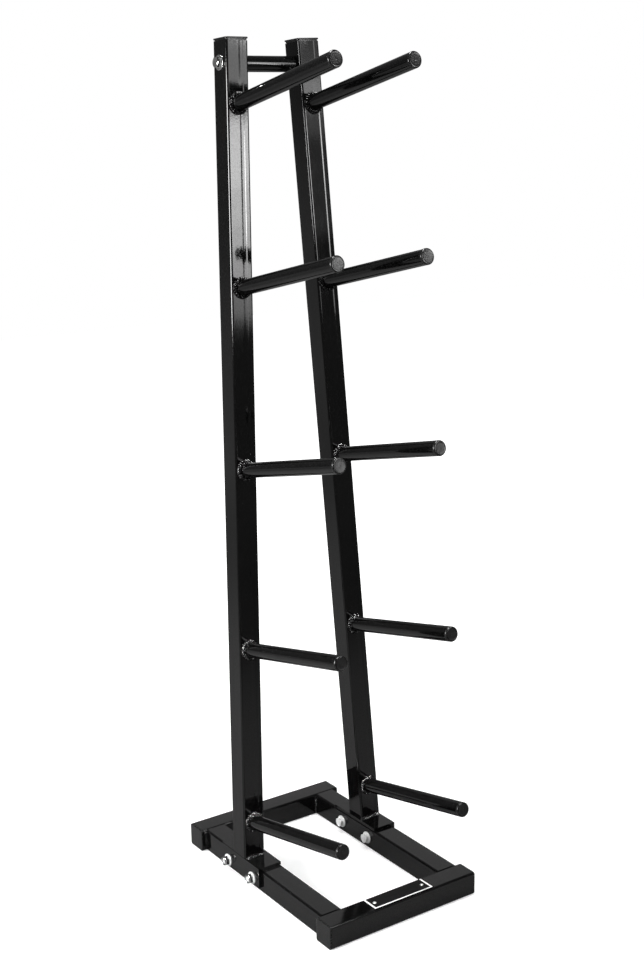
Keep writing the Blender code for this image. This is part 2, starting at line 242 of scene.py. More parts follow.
# Pegs' plugs: chamfer of the body, (inset, rise) at the flange's foot, radius of the rim, and
# inside it (inset, height) of a step down and (radius, height) of the gate mark
PEG_PLUG_CHAMFER = 0.0012
PEG_PLUG_FOOT = ((0.0005, 0), (0.0001, 0.0001), (0, 0.0004))
PEG_PLUG_RIM = 0.0034
PEG_PLUG_STEP = ((0.0038, 0), (0.0042, -0.0002), (0.006, -0.0003))
PEG_PLUG_GATE = ((0.0026, -0.0003), (0.0022, -0.0007), (0.0008, -0.0007))
PEG_PLUG_RIM_STEPS = 9

# Box tubes' plugs: chamfers, the neck between a tube's end and a flange that stands off it, radius
# of the rim and its height, (share of the half width, height) of the crowned face, and the least
# radius of its corners as a share of the half width
BOX_PLUG_CHAMFER = 0.001
BOX_PLUG_FOOT = 0.0005
NECK_GAP = 0.0003
NECK_INSET = 0.0024
LEAST_STANDOFF = 0.001
BOX_PLUG_RIM = 0.0011
BOX_PLUG_RIM_HEIGHT = -0.0004
BOX_PLUG_FACE = ((0.8, -0.0002), (0.5, -0.00005), (0.2, 0))
LEAST_CORNER_SHARE = 0.12

# Steps round a plug or a washer, round one corner of a rectangle, and over a rounded rim
ROUND_STEPS = 64
CORNER_STEPS = 6
RIM_STEPS = 5

# The caps of the uprights sit a little askew, in degrees
UPRIGHT_CAP_TILT = {"left": -2.2, "right": 1.0}

# Threads of the half-inch bolts: sizes, start above the bolt's end, steps to a pitch, speed of the
# fade at the top, and stretch from there to the plain shank
THREAD_PITCH = 0.00195
THREAD_DEPTH = 0.001
THREAD_LENGTH = 0.016
THREAD_START = 0.001
THREAD_STEPS = 5
THREAD_FADE = 4
THREAD_RUNOUT = 0.002
BOLT_STEPS = 48

# Bolts: (radius, height) of the centre mark in the end, bevel round it, and how far under the head
# the shank is measured
CENTRE_MARK = ((0.0005, 0.0024), (0.0017, 0))
BOLT_END_BEVEL = 0.0002
UNDER_HEAD = 0.005

# Bolts' heads: washer face, then (inset, height) from the top's edge to the hollow pressed into it,
# and (radius, height) in its middle
WASHER_FACE_INSET = 0.0006
WASHER_FACE_RISE = 0.0004
HEAD_TOP = ((0.0022, -0.0001), (0.003, -0.0003))
HEAD_MIDDLE = (0.001, -0.0003)

# Chamfer of the hexagons, from a circle inside the flats, at an angle in degrees
CHAMFER_INSET = 0.0004
CHAMFER_ANGLE = 30

# The crossbar bolts are tightened to another angle than the CAD ones, in degrees
CROSSBAR_BOLT_TURN = 30

# The base bolts end this far inside the CAD bolts' ends, in the collars of their nuts
BOLT_END_SHORT = 0.0027

# Lock nuts: height of the collar, (inset, rise) at its foot, its rounded edge, (inset, height) down
# its inner wall, (past the bore, height) of the nylon ring, and (past the bore, rise) at the nut's foot
COLLAR_HEIGHT = 0.0026
COLLAR_FOOT = (0.0003, 0.0002)
COLLAR_EDGE = 0.0006
COLLAR_WALL = ((0.0009, -0.0003), (0.001, -0.0022))
NYLON_RING = ((0.0002, -0.0026), (0, -0.003))
NUT_BORE_FOOT = ((0, 0.001), (0.0008, 0))

# Washers: edges of the punched foot, of the rounded side and of the hole
WASHER_FOOT = (0.0002, 0.0003)
WASHER_EDGE = 0.0009
WASHER_HOLE_EDGE = 0.0005

# Name plate on the front cross member, with a thin gap under it. The printed border runs along its
# ends and the front, sunk a little into the plate and risen a little over it
PLATE_SIZE = (0.1505, 0.0412)
PLATE_CENTRE = (0.0022, -0.2532)
PLATE_THICKNESS = 0.001
PLATE_CORNER = 0.001
PLATE_EDGE = 0.0003
PLATE_EDGE_STEPS = 3
PLATE_GAP = 0.00005
BORDER_INSET = 0.0004
BORDER_END = 0.0042
BORDER_FRONT = 0.003
BORDER_SUNK = 0.00002
BORDER_RISE = 0.00008

# Rivets of the name plate: sizes, and the foot, the dome and the mandrel's hollow as shares of the
# radius
RIVET_SPACING = 0.123
RIVET_DIAMETER = 0.0084
RIVET_RISE = 0.0014
RIVET_EDGE = 0.0002
RIVET_SUNK = 0.0003
RIVET_HOLLOW_DEPTH = 0.0015
RIVET_FOOT = 0.96
RIVET_DOME = 0.62
RIVET_HOLLOW = (0.36, 0.34, 0.1)
RIVET_DOME_STEPS = 9
RIVET_STEPS = 40


# Reading the CAD nodes


def points_of(node):
    return np.array([v.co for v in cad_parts[node].data.vertices])


def flat_face(node, towards):
    """Centre and normal of the largest flat face of a CAD node that looks about one way."""
    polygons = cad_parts[node].data.polygons
    centres = np.array([p.center for p in polygons])
    normals = np.array([p.normal for p in polygons])
    areas = np.array([p.area for p in polygons])
    facing = normals @ np.array(Vector(towards).normalized()) > SAME_WAY
    groups = {}
    for i in np.flatnonzero(facing):
        height = round(centres[i] @ normals[i], 4)
        groups.setdefault((*np.round(normals[i], 2), height), []).append(i)
    largest = max(groups.values(), key=lambda members: areas[members].sum())
    share = areas[largest] / areas[largest].sum()
    return Vector(share @ centres[largest]), Vector(share @ normals[largest]).normalized()


def axes_at(place, z, x):
    """A matrix with its origin at a place, its Z along z and its X as near to x as it can be."""
    z = Vector(z).normalized()
    y = z.cross(Vector(x)).normalized()
    return Matrix.Translation(place) @ Matrix((y.cross(z), y, z)).transposed().to_4x4()


def upright_axes(side):
    """The axes of an upright: Z up the tube, -Y out of its front face, the origin on that face."""
    centre, front = flat_face(f"{side}_upright", FRONT)
    _, along = flat_face(f"{side}_upright_plug", UP)
    return axes_at(centre, along, along.cross(front))


def hexagon_axes(name, way):
    """Axes on the end face of a head or nut, with X through a corner of its hexagon."""
    top, way = flat_face(name, way)
    points = points_of(name) - np.array(top)
    flat = points - np.outer(points @ np.array(way), way)
    return axes_at(top, way, Vector(flat[np.linalg.norm(flat, axis=1).argmax()]))


def local_points(node, matrix):
    inverse = np.array(matrix.inverted())
    return points_of(node) @ inverse[:3, :3].T + inverse[:3, 3]


def round_measures(node, matrix):
    """How far each point of a CAD node is from the Z axis of a matrix, and how high it is."""
    local = local_points(node, matrix)
    return np.hypot(local[:, 0], local[:, 1]), local[:, 2]


def plug_measures(reach, height):
    """A plug's half width, its low end, the body's half width and the height of the flange's foot."""
    half, low = reach.max(), height.min()
    body = reach[height < low + BODY_END].max()
    flange = height[reach > half - NEAR].min()
    return half, low, body, flange


# Materials


def new_material(name):
    material = bpy.data.materials.new(name)
    material.use_nodes = True
    tree = material.node_tree
    return material, tree, tree.nodes["Principled BSDF"]


def add(tree, kind, inputs=(), **settings):
    """A node with its settings, and with its inputs set to values or linked from sockets."""
    node = tree.nodes.new(kind)
    for name, value in settings.items():
        setattr(node, name, value)
    for name, value in dict(inputs).items():
        if isinstance(value, bpy.types.NodeSocket):
            tree.links.new(value, node.inputs[name])
        else:
            node.inputs[name].default_value = value
    return node


def maths(tree, operation, first, second):
    return add(tree, "ShaderNodeMath", {0: first, 1: second}, operation=operation).outputs[0]


def grey(value):
    return (value, value, value, 1)


def object_space(tree, matrix=None, size=(1, 1, 1)):
    """Object coordinates along the axes of a matrix, in units of a size."""
    where = add(tree, "ShaderNodeTexCoord").outputs["Object"]
    inputs = {"Vector": where, "Scale": size}
    if matrix:
        inputs |= {"Location": matrix.translation, "Rotation": matrix.to_euler()}
    return add(tree, "ShaderNodeMapping", inputs, vector_type="TEXTURE").outputs["Vector"]


def noise(tree, vector, size, detail=2.0, rough=0.5):
    """Noise whose lumps are about a size across, in the units of the vector."""
    inputs = {"Vector": vector, "Scale": 1 / size, "Detail": detail, "Roughness": rough}
    return add(tree, "ShaderNodeTexNoise", inputs).outputs["Fac"]


def spread(tree, value, low, high, start=0.3, end=0.7, way="LINEAR"):
    """The value, from start to end, spread from low to high."""
    inputs = {"Value": value, "From Min": start, "From Max": end, "To Min": low, "To Max": high}
    return add(tree, "ShaderNodeMapRange", inputs, interpolation_type=way).outputs["Result"]


def mix_greys(tree, factor, low, high):
    mix = add(tree, "ShaderNodeMix", {"Factor": factor}, data_type="RGBA")
    mix.inputs[6].default_value = grey(low)
    mix.inputs[7].default_value = grey(high)
    return mix.outputs[2]


def dress(tree, shader, layers, roughness, colour):
    """Give a shader bumps of (height, depth in metres), a roughness and a colour."""
    normal = None
    for height, depth in layers:
        inputs = {"Height": height, "Distance": depth, "Strength": 1.0}
        if normal:
            inputs["Normal"] = normal
        normal = add(tree, "ShaderNodeBump", inputs).outputs["Normal"]
    tree.links.new(normal, shader.inputs["Normal"])
    tree.links.new(roughness, shader.inputs["Roughness"])
    tree.links.new(colour, shader.inputs["Base Color"])


def seam_channel(tree, matrix):
    """0 in the channel along a tube and 1 beside it."""
    across = add(tree, "ShaderNodeSeparateXYZ", {"Vector": object_space(tree, matrix)}).outputs["X"]
    sides = [spread(tree, across, 0, 1, foot, top, "SMOOTHSTEP") for foot, top in SEAM_SIDES]
    return maths(tree, "ADD", *sides)


def relief(tree, where, lumps, detail=2.0, rough=0.5):
    """A layer of bumps: noise of a size, and its depth."""
    size, depth = lumps
    return noise(tree, where, size, detail, rough), depth


def tube_relief(tree, matrix, lumps, detail):
    """A layer of bumps drawn out along the Z axis of a matrix."""
    size, depth = lumps
    return noise(tree, object_space(tree, matrix, size), 1, detail), depth


def paint_material(name, matrix):
    """Gloss black paint with orange peel and dust, over the faint draw lines of a tube along Z."""
    material, tree, shader = new_material(name)
    where = object_space(tree)
    smudge = noise(tree, where, SMUDGE_SIZE, detail=4.0, rough=0.65)
    specks = noise(tree, where, SPECK_SIZE, rough=0.8)
    layers = [
        tube_relief(tree, matrix, WAVES, detail=1.0),
        tube_relief(tree, matrix, DRAW_LINES, detail=1.5),
        relief(tree, where, ORANGE_PEEL, rough=0.6),
    ]
    if "upright" in name:
        layers.append((seam_channel(tree, matrix), SEAM_DEPTH))
    dust = mix_greys(tree, spread(tree, specks, 0, 1, *DUST_RANGE), *PAINT_SHADE)
    dress(tree, shader, layers, spread(tree, smudge, *PAINT_ROUGHNESS), dust)
    tree.links.new(spread(tree, specks, *PAINT_SHINE), shader.inputs["Specular IOR Level"])
    return material


def weld_material(name, shine, roughest):
    """The same paint where it has run over rough weld metal, with dull and shiny patches."""
    material, tree, shader = new_material(name)
    where = object_space(tree)
    lumps = relief(tree, where, WELD_LUMPS, detail=3.0, rough=0.6)
    pits = relief(tree, where, WELD_PITS)
    roughness = spread(tree, noise(tree, where, WELD_SMUDGE_SIZE), WELD_SMOOTHEST, roughest)
    soot = spread(tree, noise(tree, where, SOOT_SIZE, detail=3.0), 0, 1)
    dress(tree, shader, [lumps, pits], roughness, mix_greys(tree, soot, *WELD_SHADE))
    patches = spread(tree, noise(tree, where, WELD_PATCH_SIZE), *shine, *WELD_PATCH_RANGE)
    tree.links.new(patches, shader.inputs["Specular IOR Level"])
    return material


def plastic_material(name, shade, roughness, grain):
    """Moulded black plastic with a fine grain and a few scuffs."""
    material, tree, shader = new_material(name)
    where = object_space(tree)
    fine = relief(tree, where, (FINE_GRAIN_SIZE, grain), detail=3.0, rough=0.6)
    sinks = relief(tree, where, SINK_MARKS, detail=1.0)
    coarse = relief(tree, where, (COARSE_GRAIN_SIZE, COARSE_GRAIN_FACTOR * grain), rough=0.7)
    scuffs = noise(tree, where, SCUFF_SIZE, detail=4.0, rough=0.7)
    gloss = spread(tree, scuffs, roughness - SCUFF_CHANGE, roughness + SCUFF_CHANGE)
    colour = mix_greys(tree, spread(tree, scuffs, 0, 1), shade * 0.5, shade * 1.5)
    dress(tree, shader, [fine, sinks, coarse], gloss, colour)
    return material


def zinc_material(name, roughness, metal):
    """Zinc plate with a fine grain and slightly clouded patches."""
    material, tree, shader = new_material(name)
    where = object_space(tree)
    cloud = noise(tree, where, CLOUD_SIZE, detail=3.0, rough=0.6)
    layers = [(cloud, CLOUD_DEPTH), relief(tree, where, ZINC_GRAIN)]
    gloss = spread(tree, cloud, roughness - CLOUD_CHANGE, roughness + CLOUD_CHANGE)
    colour = mix_greys(tree, spread(tree, cloud, 0, 1), *CLOUD_SHADE)
    dress(tree, shader, layers, gloss, colour)
    shader.inputs["Metallic"].default_value = metal
    return material


def print_material(name, shade, roughness, shine):
    """Screen print on the name plate, with a faint mottle."""
    material, tree, shader = new_material(name)
    mottle = noise(tree, object_space(tree), MOTTLE_SIZE, detail=3.0, rough=0.6)
    gloss = spread(tree, mottle, roughness - MOTTLE_CHANGE, roughness + MOTTLE_CHANGE)
    colour = mix_greys(tree, spread(tree, mottle, 0, 1), shade * 0.9, shade)
    dress(tree, shader, [(mottle, MOTTLE_DEPTH)], gloss, colour)
    shader.inputs["Specular IOR Level"].default_value = shine
    return material


# Building meshes


def new_object(name, bm, materials):
    bmesh.ops.recalc_face_normals(bm, faces=bm.faces)
    mesh = bpy.data.meshes.new(name)
    bm.to_mesh(mesh)
    bm.free()
    for material in materials:
        mesh.materials.append(material)
    mesh.shade_smooth()
    mesh.set_sharp_from_angle(angle=math.radians(SHARP_ANGLE))
    obj = bpy.data.objects.new(name, mesh)
    bpy.context.scene.collection.objects.link(obj)
    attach(obj, "root")
    return obj


def bridge(bm, near, far, material):
    for i in range(len(near)):
        after = (i + 1) % len(near)
        bm.faces.new((near[i], near[after], far[after], far[i])).material_index = material


def loft(bm, outlines, matrix=None, closed=False, second=()):
    """Walls between outlines of equal counts, and two caps or walls back to the first outline. Walls
    that start at the outlines named in second have the second material."""
    rings = []
    for outline in outlines:
        rings.append([bm.verts.new(matrix @ Vector(p) if matrix else p) for p in outline])
    for i, (near, far) in enumerate(zip(rings, rings[1:])):
        bridge(bm, near, far, int(i in second))
    if closed:
        bridge(bm, rings[-1], rings[0], 0)
    else:
        bm.faces.new(rings[0])
        bm.faces.new(rings[-1]).material_index = int(len(rings) - 1 in second)


def lofted_object(name, outlines, matrix, materials, closed=False, second=()):
    bm = bmesh.new()
    loft(bm, outlines, matrix, closed, second)
    return new_object(name, bm, materials)


def circle(radius, z, steps):
    angles = [2 * math.pi * i / steps for i in range(steps)]
    return [(radius * math.cos(a), radius * math.sin(a), z) for a in angles]


def circles(profile, steps):
    return [circle(radius, z, steps) for radius, z in profile]


def rounded_rectangle(half_x, half_y, corner, z):
    points = []
    for quarter, (sx, sy) in enumerate(((1, 1), (-1, 1), (-1, -1), (1, -1))):
        for i in range(CORNER_STEPS + 1):
            angle = math.pi / 2 * (quarter + i / CORNER_STEPS)
            x = sx * (half_x - corner) + corner * math.cos(angle)
            y = sy * (half_y - corner) + corner * math.sin(angle)
            points.append((x, y, z))
    return points


def rim(edge, steps=RIM_STEPS):
    """(inset, drop) pairs round a rounded rim, from its side up to its face."""
    angles = [math.pi / 2 * i / steps for i in range(steps + 1)]
    return [(edge * (1 - math.cos(a)), edge * (1 - math.sin(a))) for a in angles]


# Camera and studio


def make_camera():
    data = bpy.data.cameras.new("camera")
    data.sensor_width = SENSOR
    data.lens = FOCAL_PIXELS * SENSOR / PHOTO_HEIGHT
    data.shift_y = (OPTICAL_CENTRE_Y - PHOTO_HEIGHT / 2) / PHOTO_HEIGHT
    camera = bpy.data.objects.new("camera", data)
    camera.matrix_world = (
        Matrix.Translation(CAMERA_PLACE)
        @ Matrix.Rotation(math.radians(CAMERA_YAW), 4, "Z")
        @ Matrix.Rotation(math.radians(90 + CAMERA_PITCH), 4, "X")
        @ Matrix.Rotation(math.radians(CAMERA_ROLL), 4, "Z")
    )
    bpy.context.scene.collection.objects.link(camera)
    bpy.context.scene.camera = camera


def lit_paper(tree, colour, glow):
    """A diffuse surface that also glows."""
    diffuse = add(tree, "ShaderNodeBsdfDiffuse", {"Color": colour}).outputs[0]
    light = add(tree, "ShaderNodeEmission", {"Color": grey(1), "Strength": glow}).outputs[0]
    return add(tree, "ShaderNodeAddShader", {0: diffuse, 1: light}).outputs[0]


def floor_material():
    """White paper to the camera. To other rays it is paper that ends in front of the rack."""
    material, tree, shader = new_material("floor")
    tree.nodes.remove(shader)
    where = object_space(tree)
    along = add(tree, "ShaderNodeSeparateXYZ", {"Vector": where}).outputs["Y"]
    distance = add(tree, "ShaderNodeVectorMath", {0: where}, operation="LENGTH").outputs["Value"]
    shade = mix_greys(tree, spread(tree, along, 0, 1, *PAPER_FRONT), FLOOR_BEYOND_PAPER, PAPER_SHADE)
    far = spread(tree, distance, 0, 1, *FAR_FLOOR_REACH)
    glow = maths(tree, "MULTIPLY", far, spread(tree, along, *FAR_FLOOR_GLOW, 0, 1))
    mirrored = lit_paper(tree, shade, glow)
    fill = spread(tree, distance, *FLOOR_FILL, *FLOOR_FILL_REACH)
    seen = lit_paper(tree, grey(FLOOR_SHADE), fill)
    ray = add(tree, "ShaderNodeLightPath").outputs["Is Camera Ray"]
    mixed = add(tree, "ShaderNodeMixShader", {0: ray, 1: mirrored, 2: seen})
    tree.links.new(mixed.outputs[0], tree.nodes["Material Output"].inputs["Surface"])
    return material


def make_floor():
    bm = bmesh.new()
    bmesh.ops.create_grid(bm, x_segments=1, y_segments=1, size=FLOOR_SIZE / 2)
    mesh = bpy.data.meshes.new("floor")
    bm.to_mesh(mesh)
    bm.free()
    mesh.materials.append(floor_material())
    floor = bpy.data.objects.new("floor", mesh)
    bpy.context.scene.collection.objects.link(floor)


def room_glow(tree):
    """Radiance of the room by direction: dim, with a lit floor and a lit patch behind the rack."""
    way = add(tree, "ShaderNodeTexCoord").outputs["Generated"]
    parts = add(tree, "ShaderNodeSeparateXYZ", {"Vector": way}).outputs
    behind = spread(tree, parts["Y"], 0, 1, *BACK_TURN)
    low = spread(tree, parts["Z"], BACK_FLOOR_GLOW - ROOM_GLOW, 0, *BACK_FLOOR_RISE)
    inputs = {0: way, 1: Vector(BACK_PATCH_WAY).normalized()}
    facing = add(tree, "ShaderNodeVectorMath", inputs, operation="DOT_PRODUCT").outputs["Value"]
    patch = spread(tree, facing, ROOM_GLOW, BACK_PATCH_GLOW, *BACK_PATCH_EDGE)
    return maths(tree, "ADD", maths(tree, "MULTIPLY", behind, low), patch)


def make_world():
    """White to the camera, and the room to other rays."""
    world = bpy.data.worlds.new("studio")
    bpy.context.scene.world = world
    world.use_nodes = True
    tree = world.node_tree
    tree.nodes.clear()
    room = add(tree, "ShaderNodeBackground", {"Color": grey(1), "Strength": room_glow(tree)})
    white = add(tree, "ShaderNodeBackground", {"Color": grey(1), "Strength": 1.0})
    ray = add(tree, "ShaderNodeLightPath").outputs["Is Camera Ray"]
    mixed = add(tree, "ShaderNodeMixShader", {0: ray, 1: room.outputs[0], 2: white.outputs[0]})
    add(tree, "ShaderNodeOutputWorld", {"Surface": mixed.outputs[0]})


def make_softbox(name, box):
    """A rectangular lamp, with a grid that narrows its light to its cone."""
    width, height = box.size
    half_cone = math.radians(box.cone / 2)
    data = bpy.data.lights.new(name, "AREA")
    data.shape = "RECTANGLE"
    data.size = width
    data.size_y = height
    data.spread = math.radians(box.cone)
    grid = 1 - half_cone / math.tan(half_cone)
    data.energy = box.radiance * math.pi * width * height * grid
    lamp = bpy.data.objects.new(name, data)
    turn = (Vector(box.target) - Vector(box.place)).to_track_quat("-Z", "Y")
    lamp.matrix_world = Matrix.Translation(box.place) @ turn.to_matrix().to_4x4()
    bpy.context.scene.collection.objects.link(lamp)


def make_panel(name, panel):
    """A panel of light in front of the rack, upright and facing its middle."""
    bottom, top = panel.heights
    middle = (bottom + top) / 2
    place = (*panel.place, middle)
    size = panel.width, top - bottom
    make_softbox(name, Softbox(place, (0, 0, middle), size, panel.radiance, PANEL_CONE))


def make_lamps():
    x, y = FRONT_SOFTBOX_PLACE
    shift_x, shift_y = FRONT_SOFTBOX_SHIFT
    for i, (bottom, radiance) in enumerate(FRONT_SOFTBOX_STEPS):
        place = x + shift_x * i, y + shift_y * i
        heights = bottom, FRONT_SOFTBOX_TOP
        make_panel(f"front_softbox_{i + 1}", Panel(place, FRONT_SOFTBOX_WIDTH, heights, radiance))
    for name, panel in PANELS.items():
        make_panel(name, panel)
    for name, box in SOFTBOXES.items():
        make_softbox(name, box)


# Finish of the CAD nodes


def smooth_shading(obj):
    """Smooth shading over the facets of a CAD node's round stretches, and none over its flats."""
    mesh = obj.data
    if "custom_normal" in mesh.attributes:
        mesh.attributes.remove(mesh.attributes["custom_normal"])
    mesh.shade_smooth()
    weld = obj.modifiers.new("weld", "WELD")
    weld.merge_threshold = MERGE_DISTANCE
    split = obj.modifiers.new("split", "EDGE_SPLIT")
    split.split_angle = math.radians(CAD_SHARP_ANGLE)
    weighted = obj.modifiers.new("normals", "WEIGHTED_NORMAL")
    weighted.weight = FACE_WEIGHT


def tube_axes():
    """For each kind of tube or plate, a matrix whose Z runs along it."""
    origin = (0, 0, 0)
    axes = {
        "cross_member": axes_at(origin, RIGHT, FRONT),
        "crossbar": axes_at(origin, RIGHT, FRONT),
        "side_rail": axes_at(origin, FRONT, RIGHT),
        "bracket": axes_at(origin, FRONT, RIGHT),
        "peg": axes_at(origin, flat_face("left_peg_1_plug", FRONT)[1], RIGHT),
    }
    for side in SIDES:
        axes[f"{side}_upright"] = upright_axes(side)
    return axes


def finish_cad_nodes(plastic, zinc):
    paints = {part: paint_material(f"gloss_paint_{part}", axes) for part, axes in tube_axes().items()}
    for name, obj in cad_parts.items():
        smooth_shading(obj)
        if "plug" in name:
            material = plastic
        elif any(word in name for word in ("bolt", "washer", "nut", "insert")):
            material = zinc
        else:
            material = next(paint for part, paint in paints.items() if part in name)
        for slot in obj.material_slots:
            slot.material = material


# Welds


def bead_face(rng, scales, start, leg, flat):
    """(across, high) points over the face of a bead, from one leg to the other. The start is how many
    scales come before."""
    points = []
    for j in range(BEAD_STEPS + 1):
        t = math.pi / 2 * j / BEAD_STEPS
        phase = (start + RIPPLE_LEAN * math.sin(2 * t)) % len(scales)
        wide, tall, dome = scales[int(phase) % len(scales)]
        reach = leg * (1 - dome * (2 * (phase % 1) - 1) ** 2)
        reach *= 1 + rng.uniform(-RIPPLE_NOISE, RIPPLE_NOISE)
        points.append((reach * wide * math.cos(t) ** flat, reach * tall * math.sin(t) ** flat))
    return points


def bead_outlines(spots, weld, seed, closed=False):
    """Sections of a seam of stacked domed scales, at spots of (place, out, up) along a corner."""
    rng = random.Random(seed)
    length = sum((a[0] - b[0]).length for a, b in zip(spots, spots[1:]))
    ripples = max(FEWEST_RIPPLES, round(length / RIPPLE_LENGTH))
    ranges = RIPPLE_SIZES, RIPPLE_SIZES, weld.domes
    scales = [[rng.uniform(*limits) for limits in ranges] for _ in range(ripples)]
    last = len(spots) - (0 if closed else 1)
    back = weld.leg * BEAD_BACK
    outlines = []
    for i, (place, out, up) in enumerate(spots):
        end = 1.0 if closed else min(1.0, BEAD_END + BEAD_END_GROWTH * min(i, last - i) / last)
        face = bead_face(rng, scales, i / last * ripples, weld.leg * end, weld.flat)
        points = [place + across * out + high * up for across, high in face]
        points.append(place - BEAD_SUNK * out + back * up)
        points.append(place - BEAD_SUNK * out - BEAD_SUNK * up)
        points.append(place + back * out - BEAD_SUNK * up)
        outlines.append(points)
    return outlines


def peg_root(name):
    """Where the axis of a peg meets its upright's front face, the peg's way and the face's normal."""
    tip, along = flat_face(f"{name}_plug", FRONT)
    axes = upright_axes(name.split("_")[0])
    normal = -axes.col[1].xyz
    root = tip - along * ((tip - axes.translation).dot(normal) / along.dot(normal))
    return root, along, normal


def peg_radius(name):
    tip, along = flat_face(f"{name}_plug", FRONT)
    reach, _ = round_measures(f"{name}_plug", axes_at(tip, along, RIGHT))
    return float(reach.max())


def ring_spots(root, along, across, steep, radius, oval):
    """Spots round the oval where a peg meets its upright's face. The ways at each spot are out from
    the peg and up along it."""
    spots = []
    for i in range(PEG_WELD_SPOTS):
        angle = 2 * math.pi * i / PEG_WELD_SPOTS
        out = math.cos(angle) * across + math.sin(angle) * steep
        place = root + radius * math.cos(angle) * across + oval * math.sin(angle) * steep
        lean = along - along.dot(out) * out
        spots.append((place, out, lean.normalized()))
    return spots


def add_spatter(bm, matrix, start, seed):
    """Drops on the upright's face, thinning out from a distance round a peg's axis."""
    rng = random.Random(SPATTER_SEED + seed)
    for _ in range(SPATTER_PER_WELD):
        reach = start + abs(rng.gauss(0, SPATTER_SPREAD))
        angle = rng.uniform(0, 2 * math.pi)
        x = max(-SPATTER_HALF_WIDTH, min(SPATTER_HALF_WIDTH, reach * math.cos(angle)))
        place = Matrix.Translation((x, reach * math.sin(angle), 0))
        drop = matrix @ place @ Matrix.Scale(rng.uniform(*SPATTER_SIZES), 4)
        loft(bm, circles(SPATTER_PROFILE, SPATTER_STEPS), drop)


def make_peg_weld(name, material, seed):
    """The bead round a peg's root, with drops of spatter on the upright's face."""
    root, along, normal = peg_root(name)
    radius = peg_radius(name)
    across = along.cross(normal).normalized()
    steep = normal.cross(across).normalized()
    spots = ring_spots(root, along, across, steep, radius, radius / along.dot(normal))
    bm = bmesh.new()
    loft(bm, bead_outlines(spots, PEG_WELD, seed, closed=True), closed=True)
    add_spatter(bm, axes_at(root, normal, across), radius + PEG_WELD.leg, seed)
    new_object(f"{name}_weld", bm, [material])


def straight_spots(start, end, out, up):
    count = round((end - start).length / SPOT_SPACING)
    return [(start.lerp(end, i / count), Vector(out), Vector(up)) for i in range(count + 1)]


def foot_edge(side, facing):
    """From where to where the bead runs along the front or the rear edge of an upright's foot."""
    points = points_of(f"{side}_upright")
    foot = points[points[:, 2] < points[:, 2].min() + NEAR]
    y = foot[:, 1].min() if facing < 0 else foot[:, 1].max()
    edge = foot[np.abs(foot[:, 1] - y) < NEAR][:, 0]
    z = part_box(f"{side}_bracket")[1][2]
    ends = edge.min() - FOOT_WELD_PAST_EDGE, edge.max() + FOOT_WELD_PAST_EDGE
    return [Vector((x, y, z)) for x in ends]


def make_foot_weld(side, end, material):
    """The bead along the front or the rear of an upright's foot, on its bracket."""
    facing = ENDS[end]
    spots = straight_spots(*foot_edge(side, facing), (0, facing, 0), UP)
    outlines = bead_outlines(spots, FOOT_WELD, FOOT_SEED + 10 * facing + SIDES[side])
    lofted_object(f"{side}_{end}_foot_weld", outlines, None, [material])


def make_frame_weld(side, end, place, material):
    """The upright bead in the corner between a side rail and a cross member, inner or outer."""
    facing = ENDS[end]
    outwards = SIDES[side] if place == "outer" else -SIDES[side]
    low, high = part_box(f"{side}_side_rail")
    x = high[0] if outwards > 0 else low[0]
    y = low[1] if facing < 0 else high[1]
    bottom = Vector((x, y, low[2] + FRAME_WELD_FROM_BOTTOM))
    top = Vector((x, y, high[2] - FRAME_WELD_FROM_TOP))
    spots = straight_spots(bottom, top, (outwards, 0, 0), (0, -facing, 0))
    seed = FRAME_SEED + 20 * facing + 3 * outwards + SIDES[side]
    outlines = bead_outlines(spots, FRAME_WELD, seed)
    lofted_object(f"{side}_{end}_{place}_weld", outlines, None, [material])


def make_welds():
    dull = weld_material("dull_weld", **DULL_WELD)
    shiny = weld_material("shiny_weld", **SHINY_WELD)
    for side, sign in SIDES.items():
        for row in PEG_ROWS:
            material = shiny if row <= SHINY_WELD_ROWS else dull
            make_peg_weld(f"{side}_peg_{row}", material, seed=10 * row + sign)
        for end in ENDS:
            make_foot_weld(side, end, shiny)
            make_frame_weld(side, end, "inner", shiny)
            make_frame_weld(side, end, "outer", dull)


# Plugs


def make_peg_plug(name, materials):
    """A round plug: body, flange with a rounded rim, and a grained face with a small gate mark."""
    tip, along = flat_face(f"{name}_plug", FRONT)
    matrix = axes_at(tip, along, RIGHT)
    radius, low, body, flange = plug_measures(*round_measures(f"{name}_plug", matrix))
    profile = [(body - PEG_PLUG_CHAMFER, low), (body, low + PEG_PLUG_CHAMFER), (body, flange)]
    profile += [(radius - inset, flange + rise) for inset, rise in PEG_PLUG_FOOT]
    profile += [(radius - inset, -drop) for inset, drop in rim(PEG_PLUG_RIM, PEG_PLUG_RIM_STEPS)]
    face = len(profile) - 1
    profile += [(radius - inset, z) for inset, z in PEG_PLUG_STEP]
    profile += PEG_PLUG_GATE
    outlines = circles(profile, ROUND_STEPS)
    second = range(face, len(profile))
    plug = lofted_object(f"{name}_cap", outlines, matrix, materials, second=second)
    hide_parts(f"{name}_plug")


def box_plug_profile(half, low, body, flange, seat):
    """(half width, height) pairs up a square plug and over its rim. The tube's end is at seat."""
    neck = seat + NECK_GAP
    profile = [(body - BOX_PLUG_CHAMFER, low), (body, low + BOX_PLUG_CHAMFER), (body, neck)]
    if flange > seat + LEAST_STANDOFF:
        profile += [(half - NECK_INSET, neck), (half - NECK_INSET, flange)]
    profile += [(half - BOX_PLUG_FOOT, flange), (half, flange + BOX_PLUG_FOOT)]
    profile += [(half - inset, BOX_PLUG_RIM_HEIGHT - drop) for inset, drop in rim(BOX_PLUG_RIM)]
    return profile


